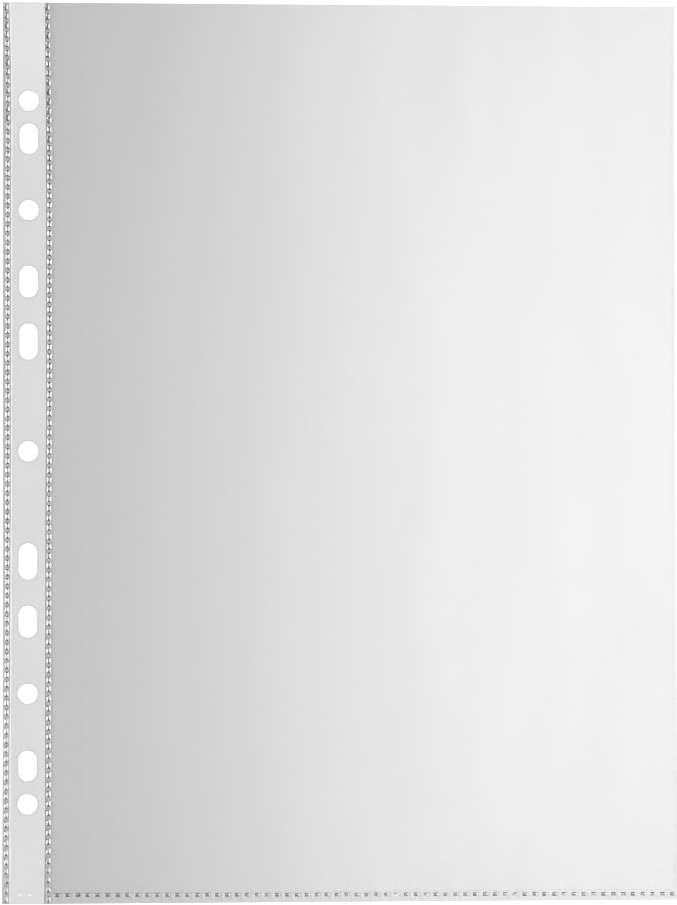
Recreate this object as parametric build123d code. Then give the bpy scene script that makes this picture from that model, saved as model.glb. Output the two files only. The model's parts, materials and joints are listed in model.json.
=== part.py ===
from build123d import *
import os

# A punched pocket of clear film for A4 sheets, lying flat with its front up.
# Sizes are in millimetres. +X runs from the binding margin to the fold, +Y from the hem to the open mouth.

# Page, from cut edge to fold and from cut edge to mouth
PAGE_WIDTH = 230.5
PAGE_HEIGHT = 307.5
FILM_THICKNESS = 0.10
STRIP_THICKNESS = 0.20

# Binding margin, from the cut edge inwards
OUTER_WELD_WIDTH = 2.6
STRIP_WIDTH = 11.4
INNER_WELD_WIDTH = 2.8

# Bottom seam: plain film below, then the band that is sealed
HEM_WIDTH = 1.4
HEM_SEAL_WIDTH = 2.2

# Straight film on each side of the bend at the fold
FOLD_LAND = 0.8

# Punched holes, by their distance from the middle of the page
ROUND_HOLE_DIAMETER = 7.0
SLOT_WIDTH = 6.5
MIDDLE_HOLE_OFFSET = 0.0
ROUND_HOLE_OFFSETS = (82.5, 120.0)
NEAR_SLOT_OFFSET = 37.5
NEAR_SLOT_LENGTH = 12.5
HALFWAY_SLOT_OFFSET = 58.0
HALFWAY_SLOT_LENGTH = 11.0
FAR_SLOT_OFFSET = 107.0
FAR_SLOT_LENGTH = 10.5

# Pressed pits of the welds: hipped hollows in the front face
PIT_DEPTH = 0.25
PIT_FLOOR_WIDTH = 0.3
SIDE_PIT_WIDTH = 1.7
SIDE_PIT_LENGTH = 2.2
OUTER_PIT_PITCH = 3.17
INNER_PIT_PITCH = 3.22
HEM_PIT_WIDTH = 1.5
HEM_PIT_LENGTH = 1.9
HEM_PIT_PITCH = 3.4
PIT_END_MARGIN = 0.9

# The two plies with the strip between them. The strip also sets the slack inside the pocket.
STACK = 2 * FILM_THICKNESS + STRIP_THICKNESS
FRONT_UNDERSIDE = STACK - FILM_THICKNESS
LEFT = -PAGE_WIDTH / 2
RIGHT = PAGE_WIDTH / 2
BOTTOM = -PAGE_HEIGHT / 2
MOUTH = PAGE_HEIGHT / 2

# The plies turn in past the strip's two edges and meet at mid height, so each side takes one film thickness
MARGIN_LEFT = LEFT + OUTER_WELD_WIDTH
STRIP_LEFT = MARGIN_LEFT + FILM_THICKNESS
STRIP_RIGHT = STRIP_LEFT + STRIP_WIDTH
MARGIN_RIGHT = STRIP_RIGHT + FILM_THICKNESS
POCKET_LEFT = MARGIN_RIGHT + INNER_WELD_WIDTH
POCKET_BOTTOM = BOTTOM + HEM_WIDTH + HEM_SEAL_WIDTH
BEND_CENTRE = RIGHT - STACK / 2
POCKET_RIGHT = BEND_CENTRE - FOLD_LAND
HOLE_LINE = STRIP_LEFT + STRIP_WIDTH / 2


def slab(left, right, low, high, under, over):
    """A flat piece between two X, two Y and two Z places."""
    corner = (Align.MIN, Align.MIN, Align.MIN)
    return Pos(left, low, under) * Box(right - left, high - low, over - under, align=corner)


def both_ways(offset):
    """A hole's two places, above and below the middle of the page."""
    return (offset, -offset)


def punch_tools():
    """One cutter for each hole, tall enough for the whole stack."""
    round_hole = Circle(ROUND_HOLE_DIAMETER / 2)
    outlines = [Pos(HOLE_LINE, MIDDLE_HOLE_OFFSET) * round_hole]
    for offset in ROUND_HOLE_OFFSETS:
        outlines += [Pos(HOLE_LINE, y) * round_hole for y in both_ways(offset)]
    slots = (
        (NEAR_SLOT_OFFSET, NEAR_SLOT_LENGTH),
        (HALFWAY_SLOT_OFFSET, HALFWAY_SLOT_LENGTH),
        (FAR_SLOT_OFFSET, FAR_SLOT_LENGTH),
    )
    for offset, length in slots:
        slot = SlotOverall(length, SLOT_WIDTH, rotation=90)
        outlines += [Pos(HOLE_LINE, y) * slot for y in both_ways(offset)]
    return [extrude(outline, amount=2 * STACK, both=True) for outline in outlines]


def pit(width, length):
    """A hipped hollow, with four even slopes down to a narrow floor, along Y at the front face."""
    setback = width - PIT_FLOOR_WIDTH
    floor = Pos(0, 0, STACK - PIT_DEPTH) * Rectangle(PIT_FLOOR_WIDTH, length - setback)
    mouth = Pos(0, 0, STACK) * Rectangle(width, length)
    return loft([floor, mouth], ruled=True)


def row_places(low, high, pit_length, pitch):
    """Centres of the pits of one row, evenly spaced and centred between two ends."""
    room = high - low - 2 * PIT_END_MARGIN - pit_length
    gaps = int(room // pitch)
    first = (low + high - gaps * pitch) / 2
    return [first + i * pitch for i in range(gaps + 1)]


def side_weld(left, right, pitch):
    """A weld ribbon up the page, with its row of pits along the middle."""
    ribbon = slab(left, right, BOTTOM, MOUTH, 0, STACK)
    hollow = pit(SIDE_PIT_WIDTH, SIDE_PIT_LENGTH)
    middle = (left + right) / 2
    places = row_places(BOTTOM, MOUTH, SIDE_PIT_LENGTH, pitch)
    return ribbon - [Pos(middle, y) * hollow for y in places]


def bottom_seam():
    """The bottom band of the pocket, from the binding margin through the crushed end of the fold."""
    band = slab(POCKET_LEFT, RIGHT, BOTTOM, POCKET_BOTTOM, 0, STACK)
    hollow = Rot(Z=90) * pit(HEM_PIT_WIDTH, HEM_PIT_LENGTH)
    middle = BOTTOM + HEM_WIDTH + HEM_SEAL_WIDTH / 2
    places = row_places(POCKET_LEFT, RIGHT, HEM_PIT_LENGTH, HEM_PIT_PITCH)
    return band - [Pos(x, middle) * hollow for x in places]


def folded_edge():
    """The film's bend from the front to the back, as a thin U along the right edge."""
    outside = Pos(-FOLD_LAND / 2, 0) * Rectangle(FOLD_LAND, STACK) + Circle(STACK / 2)
    inside = Pos(-FOLD_LAND / 2, 0) * Rectangle(FOLD_LAND, STRIP_THICKNESS) + Circle(STRIP_THICKNESS / 2)
    section = Plane((BEND_CENTRE, POCKET_BOTTOM, STACK / 2), x_dir=(1, 0, 0), z_dir=(0, -1, 0))
    return extrude(section * (outside - inside), amount=-(MOUTH - POCKET_BOTTOM))


def strip_bed():
    """The flat space between the margin's plies, which the strip fills."""
    return slab(STRIP_LEFT, STRIP_RIGHT, BOTTOM, MOUTH, FILM_THICKNESS, FRONT_UNDERSIDE)


def margin_ply(under, over):
    """One punched ply of the binding margin, a shallow channel whose edges turn in round the strip."""
    channel = slab(MARGIN_LEFT, MARGIN_RIGHT, BOTTOM, MOUTH, under, over)
    return channel - [strip_bed()] - punch_tools()


def pocket_ply(under, over):
    """One flat ply of the pocket, between the welds and the fold."""
    return slab(POCKET_LEFT, POCKET_RIGHT, POCKET_BOTTOM, MOUTH, under, over)


pieces = {
    "margin_back_film": margin_ply(0, STACK / 2),
    "binding_strip": strip_bed() - punch_tools(),
    "margin_front_film": margin_ply(STACK / 2, STACK),
    "outer_weld": side_weld(LEFT, MARGIN_LEFT, OUTER_PIT_PITCH),
    "inner_weld": side_weld(MARGIN_RIGHT, POCKET_LEFT, INNER_PIT_PITCH),
    "back_film": pocket_ply(0, FILM_THICKNESS),
    "fold_edge": folded_edge(),
    "bottom_weld": bottom_seam(),
    "front_film": pocket_ply(FRONT_UNDERSIDE, STACK),
}

os.makedirs("parts", exist_ok=True)
for name, piece in pieces.items():
    export_step(piece, f"parts/{name}.step")
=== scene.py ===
import json
import math
import random

import bmesh
import bpy
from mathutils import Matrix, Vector

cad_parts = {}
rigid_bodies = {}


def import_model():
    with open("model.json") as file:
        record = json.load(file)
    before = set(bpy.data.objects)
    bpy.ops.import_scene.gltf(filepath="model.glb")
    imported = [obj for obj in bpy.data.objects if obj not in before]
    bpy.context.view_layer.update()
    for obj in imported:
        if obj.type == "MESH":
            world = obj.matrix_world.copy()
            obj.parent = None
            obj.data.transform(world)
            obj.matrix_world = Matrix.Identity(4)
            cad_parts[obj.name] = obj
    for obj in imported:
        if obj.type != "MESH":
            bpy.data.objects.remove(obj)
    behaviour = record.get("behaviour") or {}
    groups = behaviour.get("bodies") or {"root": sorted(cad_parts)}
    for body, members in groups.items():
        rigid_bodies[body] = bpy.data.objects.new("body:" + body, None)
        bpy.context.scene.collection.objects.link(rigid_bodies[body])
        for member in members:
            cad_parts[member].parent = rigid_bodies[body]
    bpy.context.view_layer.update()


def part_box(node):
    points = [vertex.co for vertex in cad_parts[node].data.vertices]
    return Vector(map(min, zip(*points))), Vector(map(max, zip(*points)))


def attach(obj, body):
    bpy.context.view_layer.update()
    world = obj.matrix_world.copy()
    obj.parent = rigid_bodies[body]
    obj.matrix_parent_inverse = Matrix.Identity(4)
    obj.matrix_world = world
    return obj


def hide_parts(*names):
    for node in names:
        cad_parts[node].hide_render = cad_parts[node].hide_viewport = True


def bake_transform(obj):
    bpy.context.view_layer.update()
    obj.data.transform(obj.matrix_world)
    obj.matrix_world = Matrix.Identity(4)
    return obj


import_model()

MM = 0.001


# Back of the pocket: the lower half of one folded sheet of clear polypropylene film, a tenth of a millimetre
# thick. It is sealed to the binding margin on its left and to the hem below. Its first stretch beside the
# margin is a piece of its own, because the page creases there when it is turned.
class Socket:
    """An output of one material's nodes, so that shader maths reads as plain expressions."""

    def __init__(self, tree, output=None):
        self.tree = tree
        self.output = output

    def node(self, kind, settings=None, inputs=None, output=0):
        """Adds a node: its type, its settings, which are set first, and its sockets' values or links."""
        made = self.tree.nodes.new("ShaderNode" + kind)
        for name, value in (settings or {}).items():
            setattr(made, name, value)
        for name, value in (inputs or {}).items():
            if isinstance(value, Socket):
                self.tree.links.new(value.output, made.inputs[name])
            else:
                made.inputs[name].default_value = value
        return Socket(self.tree, made.outputs[output])

    def maths(self, operation, *others):
        """This value, with any others after it, put through one operation."""
        return self.node("Math", {"operation": operation}, dict(enumerate((self, *others))))

    def __add__(self, other):
        return self.maths("ADD", other)

    def __sub__(self, other):
        return self.maths("SUBTRACT", other)

    def __rsub__(self, other):
        return self * -1 + other

    def __mul__(self, other):
        return self.maths("MULTIPLY", other)

    def __pow__(self, other):
        return self.maths("POWER", other)

    __radd__ = __add__
    __rmul__ = __mul__


def new_finish(name):
    """An empty material, and the start of its nodes."""
    finish = bpy.data.materials.new(name)
    finish.use_nodes = True
    finish.node_tree.nodes.clear()
    return finish, Socket(finish.node_tree)


def show(finish, shader):
    """Gives a material its finished shader."""
    output = finish.node_tree.nodes.new("ShaderNodeOutputMaterial")
    finish.node_tree.links.new(shader.output, output.inputs["Surface"])
    return finish


def grey(shade):
    """A neutral colour of one brightness."""
    return (shade, shade, shade, 1)


SLANT_POWER = 5
FILM_CLEARNESS = 0.89
FILM_GLOSS = {"face_on": 0.0425, "roughness": 0.275, "spread": 0.06}
FILM_PATCHES = (60, 12, 1)


def clear_gloss(start, clearness, gloss, unevenness):
    """A clear skin: what lies behind shows through, a little greyer, and a slant mirrors more light."""
    slant = start.node("LayerWeight", {}, {"Blend": 0.5}, "Facing")
    mirrored = gloss["face_on"] + (1 - gloss["face_on"]) * slant ** SLANT_POWER
    roughness = gloss["roughness"] + gloss["spread"] * unevenness
    through = start.node("BsdfTransparent", {}, {"Color": grey(clearness)})
    mirror = start.node(
        "BsdfPrincipled",
        {},
        {"Base Color": grey(1), "Metallic": 1.0, "Roughness": roughness},
    )
    return start.node("MixShader", {}, {0: mirrored, 1: through, 2: mirror})


def clear_film_finish():
    """Calendered film: an even gloss, with long patches of softer shine drawn out up the page."""
    finish, start = new_finish("clear_film")
    place = start.node("TexCoord", output="Object")
    drawn = start.node("Mapping", {}, {"Vector": place, "Scale": FILM_PATCHES})
    patches = start.node("TexNoise", {}, {"Vector": drawn, "Scale": 1.0, "Detail": 1.0})
    return show(finish, clear_gloss(start, FILM_CLEARNESS, FILM_GLOSS, patches))


clear_film = clear_film_finish()


def added(name):
    """The object that was just added, under its own name."""
    piece = bpy.context.object
    piece.name = name
    piece.data.name = name
    return piece


def select_only(*pieces):
    """Selects these pieces and no others, and makes the first one active."""
    bpy.ops.object.select_all(action="DESELECT")
    for piece in pieces:
        piece.select_set(True)
    bpy.context.view_layer.objects.active = pieces[0]


def settle(piece):
    """Puts a piece's place, turn and size into its mesh."""
    select_only(piece)
    bpy.ops.object.transform_apply(location=True, rotation=True, scale=True)
    return piece


def finish_modifier(piece, kind, **settings):
    """Adds one modifier to the piece and applies it."""
    modifier = piece.modifiers.new(kind.lower(), kind)
    for name, value in settings.items():
        setattr(modifier, name, value)
    select_only(piece)
    bpy.ops.object.modifier_apply(modifier=modifier.name)


def film_sheet(name, low, high, grid):
    """A sheet of film between two corners, as a grid that is thickened upwards into a closed ply."""
    columns, rows = grid
    middle = (low + high) / 2
    bpy.ops.mesh.primitive_grid_add(
        x_subdivisions=columns, y_subdivisions=rows, size=1, location=(middle.x, middle.y, low.z)
    )
    sheet = added(name)
    sheet.scale = (high.x - low.x, high.y - low.y, 1)
    settle(sheet)
    finish_modifier(sheet, "SOLIDIFY", thickness=high.z - low.z, offset=1)
    return sheet


def dress_film(piece, node):
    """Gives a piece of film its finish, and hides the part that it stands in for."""
    piece.data.materials.append(clear_film)
    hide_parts(node)


# The crease is one piece of film, of which only the part next to the weld bends.
CREASE_WIDTH = 10 * MM
CREASE_GRID = (20, 12)
BACK_GRID = (24, 36)

back_low, back_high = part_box("back_film")
crease_end = back_low.x + CREASE_WIDTH

back_crease = film_sheet(
    "back_crease", back_low, Vector((crease_end, back_high.y, back_high.z)), CREASE_GRID
)
pocket_back = film_sheet(
    "pocket_back", Vector((crease_end, back_low.y, back_low.z)), back_high, BACK_GRID
)
for sheet in (back_crease, pocket_back):
    dress_film(sheet, "back_film")
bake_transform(back_crease)
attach(pocket_back, "pocket")


# Fold of the film: the same sheet, bent round from the back to the front along the right edge. It is pressed
# nearly flat, and holds the two plies of the pocket together from the hem to the mouth.
FOLD_ROWS = 24
FOLD_STEPS = 10
FOLD_SMOOTHING = math.radians(40)
MERGE_DISTANCE = 0.002 * MM

fold_low, fold_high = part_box("fold_edge")
film_thickness = back_high.z - back_low.z
bend_height = (fold_low.z + fold_high.z) / 2
bend_centre = fold_high.x - (fold_high.z - fold_low.z) / 2
fold_land = bend_centre - fold_low.x


def smooth(piece, angle):
    """Shades a piece as smooth, apart from edges that are sharper than an angle."""
    select_only(piece)
    bpy.ops.object.shade_smooth_by_angle(angle=angle)


bpy.ops.mesh.primitive_grid_add(
    x_subdivisions=1,
    y_subdivisions=FOLD_ROWS,
    size=1,
    location=(fold_low.x, (fold_low.y + fold_high.y) / 2, fold_low.z + film_thickness / 2),
    rotation=(0, math.pi / 2, 0),
)
pocket_fold = added("pocket_fold")
pocket_fold.scale = (film_thickness, fold_high.y - fold_low.y, 1)
settle(pocket_fold)
bpy.ops.object.mode_set(mode="EDIT")
bpy.ops.mesh.select_all(action="SELECT")
bpy.ops.mesh.extrude_region_move(TRANSFORM_OT_translate={"value": (fold_land, 0, 0)})
bpy.ops.mesh.spin(
    steps=FOLD_STEPS, angle=math.pi, center=(bend_centre, 0, bend_height), axis=(0, 1, 0)
)
bpy.ops.mesh.extrude_region_move(TRANSFORM_OT_translate={"value": (-fold_land, 0, 0)})
bpy.ops.mesh.select_all(action="SELECT")
bpy.ops.mesh.remove_doubles(threshold=MERGE_DISTANCE)
bpy.ops.mesh.normals_make_consistent(inside=False)
bpy.ops.object.mode_set(mode="OBJECT")
smooth(pocket_fold, FOLD_SMOOTHING)
dress_film(pocket_fold, "fold_edge")
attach(pocket_fold, "pocket")


# Front of the pocket: the upper half of the folded film. It is free along the mouth, so it lifts in the
# middle when a page goes in, while the margin and the fold hold its sides. It lies a little wavy over the
# air inside.
FRONT_GRID = (24, 60)
WAVE_HEIGHT = 0.22 * MM
WAVES = ((61, 17, 0.4), (38, -29, 2.1), (21, 44, 4.0))
WAVE_SMOOTHING = math.radians(30)

front_low, front_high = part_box("front_film")
front_middle = (front_low.x + front_high.x) / 2


def wave(place):
    """How far the front film rises here: nothing at its held edges, and a little more towards the mouth.
    Each wave has its radians per metre across and up the page, and its phase."""
    along = (place.y - front_low.y) / (front_high.y - front_low.y)
    across = (place.x - crease_end) / (front_high.x - crease_end)
    free = max(0, 4 * across * (1 - across)) * math.sin(0.5 * math.pi * min(1, max(0, along)))
    total = sum(math.sin(a * place.x + b * place.y + c) for a, b, c in WAVES)
    return WAVE_HEIGHT * free * (0.5 + total / (2 * len(WAVES)))


front_crease = film_sheet(
    "front_crease", front_low, Vector((crease_end, front_high.y, front_high.z)), CREASE_GRID
)
front_left = film_sheet(
    "pocket_front_left",
    Vector((crease_end, front_low.y, front_low.z)),
    Vector((front_middle, front_high.y, front_high.z)),
    FRONT_GRID,
)
front_right = film_sheet(
    "pocket_front_right", Vector((front_middle, front_low.y, front_low.z)), front_high, FRONT_GRID
)
for sheet in (front_left, front_right):
    for v in sheet.data.vertices:
        v.co.z += wave(v.co)
    smooth(sheet, WAVE_SMOOTHING)
for sheet in (front_crease, front_left, front_right):
    dress_film(sheet, "front_film")
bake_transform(front_crease)
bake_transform(front_left)
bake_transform(front_right)


# Binding strip: a milky band of thicker polypropylene between the plies of the margin, punched with them so
# that rings don't tear them. Its edges follow the two weld rows beside it, which wander up the page, and its
# left edge, where the front ply is drawn down over it, carries a painted highlight.
ROUND_RADIUS = 3.5 * MM
SLOT_RADIUS = 3.25 * MM
ROUND_HOLES = (0, 82.5 * MM, 120 * MM)
SLOTS = ((37.5 * MM, 12.5 * MM), (58 * MM, 11 * MM), (107 * MM, 10.5 * MM))
HOLE_CLEAR = 4 * MM
PUNCH_SIDES = 48
PUNCH_HEIGHT = 10 * MM
BAND_ROWS = 300
STRIP_GAP = 0.02 * MM
SLOPE_GAP = 0.1 * MM
SLOPE_RUN = 0.55 * MM
SLOPE_NORMAL = 0.2
CREST_RIPPLES = ((0.06 * MM, 1980), (0.05 * MM, 310))
STRIP_BEVEL = 0.04 * MM
BEVEL_ANGLE = math.radians(60)
OUTER_REACH = 0.95 * MM
INNER_REACH = 1.23 * MM
OUTER_ROW = (
    (0, 0.05), (0.1, -0.08), (0.18, -0.08), (0.28, 0.1), (0.5, 0.15),
    (0.8, 0), (0.87, 0.05), (0.93, -0.15), (1, -0.7),
)
INNER_ROW = (
    (0, -0.17), (0.08, 0.03), (0.25, 0), (0.45, -0.05), (0.56, 0.08),
    (0.7, 0), (0.8, -0.06), (0.88, -0.3), (1, -0.95),
)
STRIP_EDGE = (*INNER_ROW[:-2], (0.88, -0.2), (1, -0.62))

strip_low, strip_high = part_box("binding_strip")
outer_low, outer_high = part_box("outer_weld")
inner_low, inner_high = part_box("inner_weld")
hole_line = (strip_low.x + strip_high.x) / 2
outer_middle = (outer_low.x + outer_high.x) / 2
inner_middle = (inner_low.x + inner_high.x) / 2
page_height = strip_high.y - strip_low.y

holes = [(offset, ROUND_RADIUS, 2 * ROUND_RADIUS) for offset in ROUND_HOLES]
holes += [(offset, SLOT_RADIUS, length) for offset, length in SLOTS]


def trace(places, share):
    """How far aside something lies, part of the way along a list of (share of the length, millimetres)."""
    share = min(1, max(0, share))
    for (a, low), (b, high) in zip(places, places[1:]):
        if share <= b:
            return (low + (high - low) * (share - a) / (b - a)) * MM


def outer_edge(y):
    """Where the outer weld ends, beside the strip."""
    return outer_middle + OUTER_REACH + trace(OUTER_ROW, (y - strip_low.y) / page_height)


def inner_edge(y):
    """Where the inner weld starts, on the strip's other side."""
    return inner_middle - INNER_REACH + trace(STRIP_EDGE, (y - strip_low.y) / page_height)


def crest(y):
    """Where the front ply starts down from the strip towards the outer weld, a little uneven at every pit."""
    uneven = sum(height * math.sin(rate * y) for height, rate in CREST_RIPPLES)
    return outer_edge(y) + SLOPE_RUN + uneven


def band(name, left_edge, right_edge, under):
    """A flat band up the margin, between two edges that are given for each height on the page."""
    middle = (strip_low.y + strip_high.y) / 2
    bpy.ops.mesh.primitive_grid_add(
        x_subdivisions=1, y_subdivisions=BAND_ROWS, size=1, location=(0, middle, under)
    )
    made = added(name)
    made.scale = (1, page_height, 1)
    settle(made)
    for v in made.data.vertices:
        v.co.x = left_edge(v.co.y) if v.co.x < 0 else right_edge(v.co.y)
    return made


def hole_cutter(y, radius, length):
    """A cutter for one hole: a cylinder, with its two halves drawn apart along the page for a slot."""
    bpy.ops.mesh.primitive_cylinder_add(
        vertices=PUNCH_SIDES,
        radius=radius,
        depth=PUNCH_HEIGHT,
        location=(hole_line, y, 0),
        rotation=(0, 0, math.pi / PUNCH_SIDES),
    )
    cutter = settle(added("punch"))
    for v in cutter.data.vertices:
        v.co.y += math.copysign(length / 2 - radius, v.co.y - y)
    return cutter


cutters = []
for offset, radius, length in holes:
    cutters += [hole_cutter(y, radius, length) for y in sorted({offset, -offset})]
select_only(*cutters)
bpy.ops.object.join()
punches = bpy.context.object


def punch_holes(piece):
    """Cuts all the holes through a piece that has no finish yet."""
    finish_modifier(piece, "BOOLEAN", object=punches, operation="DIFFERENCE", solver="EXACT")
    piece.data.materials.clear()


# Looks of the strip. Each pair is how far something shows in full and where it has faded out.
# Painted shade round each hole's cut edge.
HOLE_SHADE_FADE = (0, 0.9 * MM)
# Painted light: the strip is lighter towards its top and bottom ends.
TOP_LIGHT_FADE = (10 * MM, 60 * MM)
BOTTOM_LIGHT_FADE = (5 * MM, 40 * MM)
MARK_PITCH = 3.36 * MM
MARK_OFFSET = 0.98 * MM
MARK_HEIGHT = 3.0 * MM
MARK_LENGTH_FADE = (0.5 * MM, 0.9 * MM)
MARK_WIDTH_FADE = (0.2 * MM, 0.45 * MM)
MARKS_START = -4 * MM
MARKS_FADE = (0.5 * MM, 6.5 * MM)
STRIP_LINES = (900, 7, 1)
STRIP_GREYS = (0.99, 0.66)
STRIP_DULLNESS = 0.51
DULLED_BY = {"clouds": 0.17, "lines": 0.13, "hole_shade": 0.25, "top": -0.33, "bottom": -0.1, "mark_glints": -0.55}
EDGE_HIGHLIGHT_GREYS = (0.87, 0.73)


def fading(distance, near, far):
    """One up to the near distance, and nothing past the far one."""
    return distance.node(
        "MapRange",
        {"interpolation_type": "SMOOTHSTEP"},
        {"Value": distance, "From Min": near, "From Max": far, "To Min": 1.0, "To Max": 0.0},
    )


def grey_between(share, greys):
    """A colour that is part of the way from one grey to another."""
    first, last = greys
    return share.node(
        "Mix",
        {"data_type": "RGBA"},
        {"Factor": share, "A": grey(first), "B": grey(last)},
        "Result",
    )


def milky_strip_finish():
    """Filled polypropylene: cloudy white satin with faint lines along it, greyer round each hole with painted
    shade, and lighter towards its ends with painted light.
    The hem's wheel has run over it near the bottom, and has left three marks, whose paleness is a painted
    glint."""
    finish, start = new_finish("milky_strip")
    place = start.node("TexCoord", output="Object")
    x = start.node("SeparateXYZ", {}, {"Vector": place}, "X") - hole_line
    height = start.node("SeparateXYZ", {}, {"Vector": place}, "Y")
    y = height.maths("ABSOLUTE")
    from_hole = 1.0
    for offset, radius, length in holes:
        past_end = ((y - offset).maths("ABSOLUTE") - (length / 2 - radius)).maths("MAXIMUM", 0.0)
        away = (x * x + past_end * past_end) ** 0.5 - radius
        from_hole = away.maths("MINIMUM", from_hole)
    # Where the hem's wheel marked the strip; the marks' paleness is a painted glint.
    along_marks = (x - MARK_OFFSET).maths("PINGPONG", MARK_PITCH / 2)
    across_marks = (height - strip_low.y - MARK_HEIGHT).maths("ABSOLUTE")
    mark_glints = fading(along_marks, *MARK_LENGTH_FADE) * fading(across_marks, *MARK_WIDTH_FADE)
    drawn = start.node("Mapping", {}, {"Vector": place, "Scale": STRIP_LINES})
    clouds = start.node("TexNoise", {}, {"Vector": place, "Scale": 45.0, "Detail": 3.0})
    shades = {
        "clouds": clouds,
        "lines": start.node("TexNoise", {}, {"Vector": drawn, "Scale": 1.0, "Detail": 2.0}),
        # painted shade round each hole's cut edge
        "hole_shade": fading(from_hole, *HOLE_SHADE_FADE),
        # painted light, lighter towards the top and the bottom end
        "top": fading(strip_high.y - height, *TOP_LIGHT_FADE),
        "bottom": fading(height - strip_low.y, *BOTTOM_LIGHT_FADE),
        "mark_glints": mark_glints * x.maths("GREATER_THAN", MARKS_START) * fading(x, *MARKS_FADE),
    }
    dull = STRIP_DULLNESS
    for name, shade in shades.items():
        dull = dull + DULLED_BY[name] * shade
    body = {"Base Color": grey_between(dull, STRIP_GREYS), "Roughness": 0.38 + 0.15 * clouds}
    return show(finish, start.node("BsdfPrincipled", {}, body))


def edge_highlight_finish():
    """Edge of the strip, where the front ply is drawn down over it: a painted highlight, in light patches."""
    finish, start = new_finish("painted_edge_highlight")
    place = start.node("TexCoord", output="Object")
    patches = start.node("TexNoise", {}, {"Vector": place, "Scale": 400.0, "Detail": 1.0})
    edge = {"Base Color": grey_between(patches, EDGE_HIGHLIGHT_GREYS), "Roughness": 0.35}
    return show(finish, start.node("BsdfPrincipled", {}, edge))


punched_strip = band(
    "punched_strip",
    lambda y: outer_edge(y) + SLOPE_GAP,
    lambda y: inner_edge(y) - STRIP_GAP,
    strip_low.z + STRIP_GAP,
)
strip_thickness = strip_high.z - strip_low.z - 2 * STRIP_GAP
finish_modifier(punched_strip, "SOLIDIFY", thickness=strip_thickness, offset=1)
for v in punched_strip.data.vertices:
    if v.co.x < hole_line and v.co.z > (strip_low.z + strip_high.z) / 2:
        v.co.x = crest(v.co.y) + STRIP_GAP
punch_holes(punched_strip)
finish_modifier(
    punched_strip, "BEVEL", width=STRIP_BEVEL, segments=2, limit_method="ANGLE", angle_limit=BEVEL_ANGLE
)
punched_strip.data.materials.append(milky_strip_finish())
punched_strip.data.materials.append(edge_highlight_finish())
# Faces that slope down to the left, away from the holes, get the painted edge highlight.
for face in punched_strip.data.polygons:
    sloping = face.normal.x < -SLOPE_NORMAL and face.normal.z > SLOPE_NORMAL
    face.material_index = int(sloping and face.center.x < hole_line - HOLE_CLEAR)
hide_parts("binding_strip")
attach(punched_strip, "binding_margin")


# Plies of the binding margin: the film under and over the strip, punched with it. The back ply lies flat.
# The front one slopes down past the strip's left edge to the outer weld, and that slope, over the painted
# highlight on the strip's edge, shows as a thin pale line.
SLOPE_DROP = 0.14 * MM


def pick(piece, kind, test):
    """In edit mode, selects the edges or faces whose middle passes a test."""
    bpy.context.tool_settings.mesh_select_mode = (False, kind == "edges", kind == "faces")
    mesh = bmesh.from_edit_mesh(piece.data)
    for part in (*mesh.verts, *mesh.edges, *mesh.faces):
        part.select = False
    for part in getattr(mesh, kind):
        middle = sum((v.co for v in part.verts), Vector()) / len(part.verts)
        part.select_set(bool(test(middle)))
    mesh.select_flush_mode()
    bmesh.update_edit_mesh(piece.data)


def finish_ply(ply, node):
    """Thickens a ply of the margin, punches it and gives it its film."""
    finish_modifier(ply, "SOLIDIFY", thickness=film_thickness, offset=1)
    punch_holes(ply)
    dress_film(ply, node)
    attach(ply, "binding_margin")


margin_back = band("margin_back", outer_edge, inner_edge, back_low.z)
finish_ply(margin_back, "margin_back_film")

margin_front = band("margin_front", crest, inner_edge, front_low.z)
bpy.ops.object.mode_set(mode="EDIT")
pick(margin_front, "edges", lambda place: place.x < hole_line - HOLE_CLEAR)
bpy.ops.mesh.extrude_edges_move(TRANSFORM_OT_translate={"value": (-SLOPE_RUN, 0, -SLOPE_DROP)})
bpy.ops.object.mode_set(mode="OBJECT")
finish_ply(margin_front, "margin_front_film")
bpy.data.objects.remove(punches)


# Welds: ribbons where a toothed wheel has melted the two plies together, one along the cut edge and one
# between the strip and the pocket. Each tooth leaves a hipped pit with narrower ends, and the film puckers up
# between the pits. The row wanders a little, and the teeth drag at its lower end.
SEALED_CLEARNESS = 0.777
PRESSED_CLEARNESS = 0.758
SEALED_GLOSS = {"face_on": 0.08, "roughness": 0.24, "spread": 0.16}
# Painted shade: pit walls let less through, in place of the light that they bend away.
SHADED_PIT_CLEARNESS = 0.35
PIT_GLOSS = {"face_on": 0.19, "roughness": 0.1, "spread": 0.14}
FAINT_SHARE = 0.2
FAINT_FADE = (9 * MM, 14 * MM)


def sealed_finish(name, clearness):
    """Sealed film: the two plies as one, clouded, a little greyer where pressed, with an uneven shine."""
    finish, start = new_finish(name)
    place = start.node("TexCoord", output="Object")
    clouds = start.node("TexNoise", {}, {"Vector": place, "Scale": 900.0, "Detail": 2.0})
    return show(finish, clear_gloss(start, clearness, SEALED_GLOSS, clouds))


def pressed_pit_finish():
    """Walls of a pit: film melted through bends the light away, and that lost light is painted shade, a
    darker and less clear skin, so a wall is dark or glints.
    They are fainter where the teeth drag."""
    finish, start = new_finish("pressed_pit")
    place = start.node("TexCoord", output="Object")
    clouds = start.node("TexNoise", {}, {"Vector": place, "Scale": 1500.0, "Detail": 2.0})
    height = start.node("SeparateXYZ", {}, {"Vector": place}, "Y")
    faint = FAINT_SHARE * fading(height - strip_low.y, *FAINT_FADE)
    shaded_walls = clear_gloss(start, SHADED_PIT_CLEARNESS, PIT_GLOSS, clouds)
    light = clear_gloss(start, PRESSED_CLEARNESS, SEALED_GLOSS, clouds)
    return show(finish, start.node("MixShader", {}, {0: faint, 1: shaded_walls, 2: light}))


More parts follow.
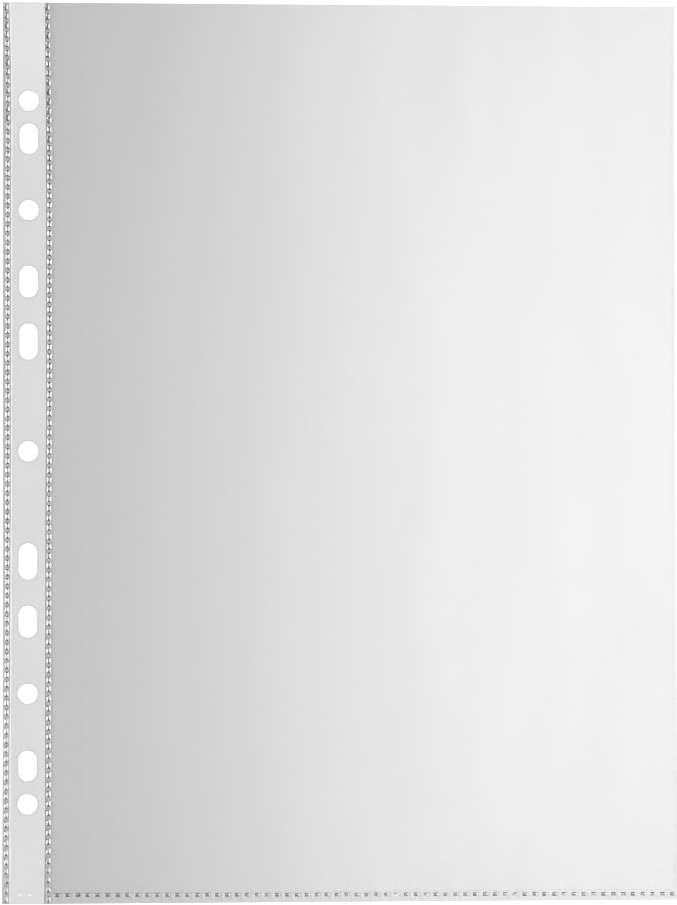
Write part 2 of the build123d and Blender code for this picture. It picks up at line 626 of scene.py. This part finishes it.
sealed_film = sealed_finish("sealed_film", SEALED_CLEARNESS)
pressed_film = sealed_finish("pressed_film", PRESSED_CLEARNESS)
pressed_pit = pressed_pit_finish()

PIT_RIM = 0.1 * MM
RIM_DROP = 0.004 * MM
PUCKER = 0.05 * MM
WELD_TOP = 0.3 * MM
NEAR = 0.01 * MM
RIBBON, RIGHT_SIDE, PIT_WALLS = range(3)


def weld_ribbon(name, sides, tops, finishes, length, pit):
    """A sealed ribbon along Y, from 0 to its length, with its row of pits along X 0. One pitch is shaped as a
    grid with its pit inset, repeated up the row, and drawn down to a flat underside."""
    half, pitch = pit["width"] / 2, pit["pitch"]
    columns = ((sides[0], tops[0]), (-half, WELD_TOP), (half, WELD_TOP), (sides[1], tops[1]))
    ends = (-pit["length"] / 2, -pit["straight"] / 2, pit["straight"] / 2, pit["length"] / 2)
    rows = (0, *(pitch / 2 + end for end in ends), pitch)
    across, along = len(columns) - 1, len(rows) - 1
    bpy.ops.mesh.primitive_grid_add(x_subdivisions=across, y_subdivisions=along, size=1)
    ribbon = added(name)
    for v in ribbon.data.vertices:
        column, row = round(across * (v.co.x + 0.5)), round(along * (v.co.y + 0.5))
        inside = 0 < column < across
        x, top = columns[column]
        if inside and row in (1, along - 1):
            x *= pit["end"] / pit["width"]
        if inside and row in (0, along):
            top += PUCKER
        v.co = (x, rows[row], top)
    for finish in (*finishes, pressed_pit):
        ribbon.data.materials.append(finish)

    def paint(slot):
        """Gives the selected faces one of the ribbon's finishes."""
        ribbon.active_material_index = slot
        bpy.ops.object.material_slot_assign()

    def in_pit(place):
        """Whether a face of the first pitch is part of its pit."""
        return abs(place.x) < half / 2 and abs(place.y - pitch / 2) < pit["length"] / 2

    bpy.ops.object.mode_set(mode="EDIT")
    pick(ribbon, "faces", lambda place: place.x > half / 2)
    paint(RIGHT_SIDE)
    pick(ribbon, "faces", in_pit)
    bpy.ops.mesh.inset(thickness=PIT_RIM, depth=-RIM_DROP)
    bpy.ops.mesh.inset(thickness=half - PIT_RIM - pit["floor"] / 2, depth=-pit["depth"])
    bpy.ops.mesh.select_more()
    paint(PIT_WALLS)
    bpy.ops.object.mode_set(mode="OBJECT")
    count = round(length / pitch)
    finish_modifier(
        ribbon,
        "ARRAY",
        count=count,
        use_relative_offset=False,
        use_constant_offset=True,
        constant_offset_displace=(0, pitch, 0),
        use_merge_vertices=True,
        merge_threshold=MERGE_DISTANCE,
    )
    bpy.ops.object.mode_set(mode="EDIT")
    pick(ribbon, "faces", lambda place: abs(place.x) < half and pit["plain"](place, pit))
    paint(RIBBON)
    bpy.ops.mesh.select_all(action="SELECT")
    bpy.ops.mesh.extrude_region_move(TRANSFORM_OT_translate={"value": (0, 0, -1)})
    bpy.ops.transform.resize(value=(1, 1, 0), center_override=(0, 0, 0))
    pick(ribbon, "faces", lambda place: place.z < NEAR and place.x < half)
    paint(RIBBON)
    bpy.ops.mesh.select_all(action="SELECT")
    bpy.ops.mesh.normals_make_consistent(inside=False)
    bpy.ops.object.mode_set(mode="OBJECT")
    return ribbon, count


PIT_SPREAD = {
    "aside": 0.025 * MM,
    "along": 0.04 * MM,
    "lean_x": 0.03 * MM,
    "lean_y": 0.05 * MM,
    "twist": 0.03,
}
PIT_DEPTHS = (0.92, 1.06)
DRAG_GAIN = 3


def uneven_pits(count, pit, leans, seed):
    """How each pit of a row is shifted, deepened, leaned, narrowed and turned, most where the teeth drag."""
    rng = random.Random(seed)
    pits = []
    for i in range(count):
        wild = 1 + DRAG_GAIN * max(0, pit["drag"] - i) / max(1, pit["drag"])
        share = i / count
        pits.append(
            {
                "aside": rng.gauss(0, PIT_SPREAD["aside"]) * wild,
                "along": rng.gauss(0, PIT_SPREAD["along"]) * wild,
                "depth": rng.uniform(*PIT_DEPTHS),
                "lean_x": trace(leans["x"], share) + rng.gauss(0, PIT_SPREAD["lean_x"]) * wild,
                "lean_y": trace(leans["y"], share) + rng.gauss(0, PIT_SPREAD["lean_y"]) * wild,
                "lip": trace(leans["lip"], share),
                "narrowed": 1 - 2 * trace(leans["narrowing"], share) / pit["width"],
                "twist": rng.gauss(0, PIT_SPREAD["twist"]) * wild,
            }
        )
    return pits


def vary(ribbon, count, length, pit, paths, leans, seed):
    """Makes each pit of a ribbon a little different, and lets its left side, row and right side wander."""
    pits = uneven_pits(count, pit, leans, seed)
    pitch = pit["pitch"]
    left_path, row_path, right_path = paths
    for v in ribbon.data.vertices:
        share = v.co.y / (count * pitch)
        i = min(count - 1, int(share * count))
        along = v.co.y - (i + 0.5) * pitch
        path = right_path if v.co.x > 0 else left_path
        if abs(v.co.x) < pit["width"] / 2 + NEAR:
            path = row_path
            if abs(along) < pitch / 2 - NEAR:
                own = pits[i]
                x = v.co.x * own["narrowed"] - along * own["twist"] + own["aside"]
                y = along + v.co.x * own["twist"] + own["along"]
                below_top = WELD_TOP - v.co.z
                if v.co.z > NEAR and below_top > 2 * RIM_DROP:
                    x += own["lean_x"]
                    y += own["lean_y"]
                    v.co.z = WELD_TOP - below_top * own["depth"]
                elif v.co.x < 0 and RIM_DROP / 2 < below_top < 2 * RIM_DROP:
                    v.co.z += own["lip"]
                v.co.x = x
                v.co.y = (i + 0.5) * pitch + y
        v.co.x += trace(path, share)
    stretch = length / (count * pitch)
    for v in ribbon.data.vertices:
        v.co.y *= stretch


def place_weld(ribbon, node, place, turn=0):
    """Lays a finished ribbon in its place on the page."""
    ribbon.location = place
    ribbon.rotation_euler = (0, 0, turn)
    settle(ribbon)
    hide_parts(node)


DRAG_LENGTH = 12.7 * MM
# Floors above this share of the page keep the pit walls' painted shade.
CLEAR_FLOORS = 0.8


def plain_in_side_pit(place, pit):
    """Faces as clear as the ribbon: dragged left walls, and all floors but those near the mouth."""
    on_floor = place.z < WELD_TOP - pit["depth"]
    dragged = place.x < -NEAR and place.y < DRAG_LENGTH
    return dragged or on_floor and place.y < CLEAR_FLOORS * page_height


SIDE_PIT = {
    "length": 2.4 * MM,
    "straight": 1.1 * MM,
    "depth": 0.195 * MM,
    "plain": plain_in_side_pit,
    "drag": 4,
}
EDGE_PIT = {**SIDE_PIT, "width": 1.7 * MM, "end": 1.25 * MM, "floor": 0.2 * MM, "pitch": 3.17 * MM}
EDGE_TOPS = (0.24 * MM, 0.26 * MM)
CREASE_PIT = {**SIDE_PIT, "width": 1.85 * MM, "end": 1.3 * MM, "floor": 0.4 * MM, "pitch": 3.22 * MM}
CREASE_TOPS = (0.32 * MM, 0.34 * MM)
SIDE_LEANS = {
    "x": ((0, -0.11), (0.25, -0.08), (0.5, -0.04), (0.75, -0.05), (0.83, -0.06), (0.92, -0.05), (1, -0.04)),
    "y": ((0, 0.15), (0.5, 0.08), (0.8, -0.05), (1, -0.2)),
    "lip": ((0, 0), (0.8, 0), (0.88, 0.035), (1, 0.035)),
    "narrowing": ((0, 0), (0.82, 0), (0.92, 0.07), (1, 0.1)),
}
STRAIGHT = ((0, 0), (1, 0))
CUT_EDGE = (
    (0, -0.12), (0.08, -0.03), (0.3, 0), (0.45, -0.12), (0.6, -0.29),
    (0.75, -0.32), (0.87, -0.47), (1, -0.6),
)

edge_sides = (outer_low.x - outer_middle, OUTER_REACH)
edge_weld, edge_count = weld_ribbon(
    "edge_weld", edge_sides, EDGE_TOPS, (pressed_film, pressed_film), page_height, EDGE_PIT
)
edge_paths = (CUT_EDGE, OUTER_ROW, OUTER_ROW)
vary(edge_weld, edge_count, page_height, EDGE_PIT, edge_paths, SIDE_LEANS, seed=11)
place_weld(edge_weld, "outer_weld", (outer_middle, strip_low.y, 0))
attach(edge_weld, "binding_margin")

crease_sides = (-INNER_REACH, inner_high.x - inner_middle)
crease_weld, crease_count = weld_ribbon(
    "crease_weld", crease_sides, CREASE_TOPS, (pressed_film, sealed_film), page_height, CREASE_PIT
)
crease_paths = (STRIP_EDGE, INNER_ROW, STRAIGHT)
vary(crease_weld, crease_count, page_height, CREASE_PIT, crease_paths, SIDE_LEANS, seed=23)
place_weld(crease_weld, "inner_weld", (inner_middle, strip_low.y, 0))
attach(crease_weld, "binding_margin")


# Hem weld: a finer row of pits that closes the pocket's bottom, a little above the cut edge, and runs on
# through the end of the fold. At its left end it bends with the crease.
END_REACH = 0.1 * MM


def plain_in_hem_pit(place, pit):
    """Faces that stay as clear as the film around them: the floor and the left end."""
    along = place.y % pit["pitch"] - pit["pitch"] / 2
    at_left_end = abs(place.x) < END_REACH and along < -pit["straight"] / 2
    return at_left_end or place.z < WELD_TOP - pit["depth"]


HEM_PIT = {
    "width": 1.4 * MM,
    "end": 1.4 * MM,
    "length": 1.9 * MM,
    "straight": 0.9 * MM,
    "depth": 0.25 * MM,
    "floor": 0.2 * MM,
    "plain": plain_in_hem_pit,
    "drag": 0,
    "pitch": 3.38 * MM,
}
HEM_TOPS = (WELD_TOP, 0.28 * MM)
HEM_MIDDLE = 2.5 * MM
HEM_ROW = ((0, -0.45), (1, 0.45))
HEM_LEANS = {
    "x": ((0, -0.12), (1, -0.12)),
    "y": ((0, 0), (0.15, -0.1), (1, -0.1)),
    "lip": STRAIGHT,
    "narrowing": STRAIGHT,
}

hem_low, hem_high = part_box("bottom_weld")
hem_length = hem_high.x - hem_low.x
hem_sides = (HEM_MIDDLE - (hem_high.y - hem_low.y), HEM_MIDDLE)
hem_weld, hem_count = weld_ribbon(
    "hem_weld", hem_sides, HEM_TOPS, (sealed_film, sealed_film), hem_length, HEM_PIT
)
vary(hem_weld, hem_count, hem_length, HEM_PIT, (STRAIGHT, HEM_ROW, STRAIGHT), HEM_LEANS, seed=37)
place_weld(hem_weld, "bottom_weld", (hem_low.x, hem_low.y + HEM_MIDDLE, 0), turn=-math.pi / 2)
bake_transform(hem_weld)


# Studio: a plain pale floor, a tall soft light above and to the right of the camera, whose blurred mirror
# image lightens the film towards its fold, one on the left that glints in the pits, and a weak one below the
# page.
FLOOR_SIDE = 6.0
FLOOR_DROP = 0.3 * MM
FLOOR_GREYS = (0.96, 0.94)
ROOM_LIGHT = 0.2


def pale_floor_finish():
    """White card, quite matt, with a faint grain."""
    finish, start = new_finish("pale_floor")
    place = start.node("TexCoord", output="Object")
    grain = start.node("TexNoise", {}, {"Vector": place, "Scale": 60.0, "Detail": 4.0})
    card = {"Base Color": grey_between(grain, FLOOR_GREYS), "Roughness": 0.9, "Specular IOR Level": 0.0}
    return show(finish, start.node("BsdfPrincipled", {}, card))


bpy.ops.mesh.primitive_plane_add(size=FLOOR_SIDE, location=(0, 0, -FLOOR_DROP))
floor = settle(added("floor"))
floor.data.materials.append(pale_floor_finish())


def softbox(name, place, aim, width, length, radiance):
    """A soft rectangular light at a place, turned towards a point, of an even brightness over its face."""
    light = bpy.data.lights.new(name, "AREA")
    light.shape = "RECTANGLE"
    light.size = width
    light.size_y = length
    light.energy = radiance * math.pi * width * length
    lamp = bpy.data.objects.new(name, light)
    lamp.location = place
    lamp.rotation_euler = (Vector(aim) - Vector(place)).to_track_quat("-Z", "Y").to_euler()
    lamp.visible_camera = False
    bpy.context.scene.collection.objects.link(lamp)


softbox(
    "main_softbox", place=(0.4425, 0.03, 1.2), aim=(0.4425, 0.03, 0), width=0.909, length=1.16, radiance=4.7
)
softbox(
    "left_softbox", place=(-0.79, 0.02, 0.9), aim=(-0.11, 0.02, 0), width=1.3, length=0.58, radiance=4.0
)
softbox(
    "low_softbox", place=(0.0, -1.03, 0.66), aim=(0.0, -0.15, 0), width=0.9, length=0.5, radiance=1.8
)

world = bpy.data.worlds.new("room")
world.use_nodes = True
world.node_tree.nodes["Background"].inputs["Color"].default_value = grey(1)
world.node_tree.nodes["Background"].inputs["Strength"].default_value = ROOM_LIGHT
scene = bpy.context.scene
scene.world = world
scene.view_settings.view_transform = "Standard"
scene.cycles.max_bounces = 6
scene.cycles.diffuse_bounces = 2
scene.cycles.glossy_bounces = 3
scene.cycles.transparent_max_bounces = 32
scene.cycles.filter_width = 1.0

camera = bpy.data.cameras.new("camera")
camera.lens = 100
camera.sensor_width = 36
eye = bpy.data.objects.new("camera", camera)
eye.location = (-33.8 * MM, -20.66 * MM, 860.53 * MM)
eye.rotation_euler = (math.radians(1.3521), math.radians(-2.1863), math.radians(-0.0433))
scene.collection.objects.link(eye)
scene.camera = eye
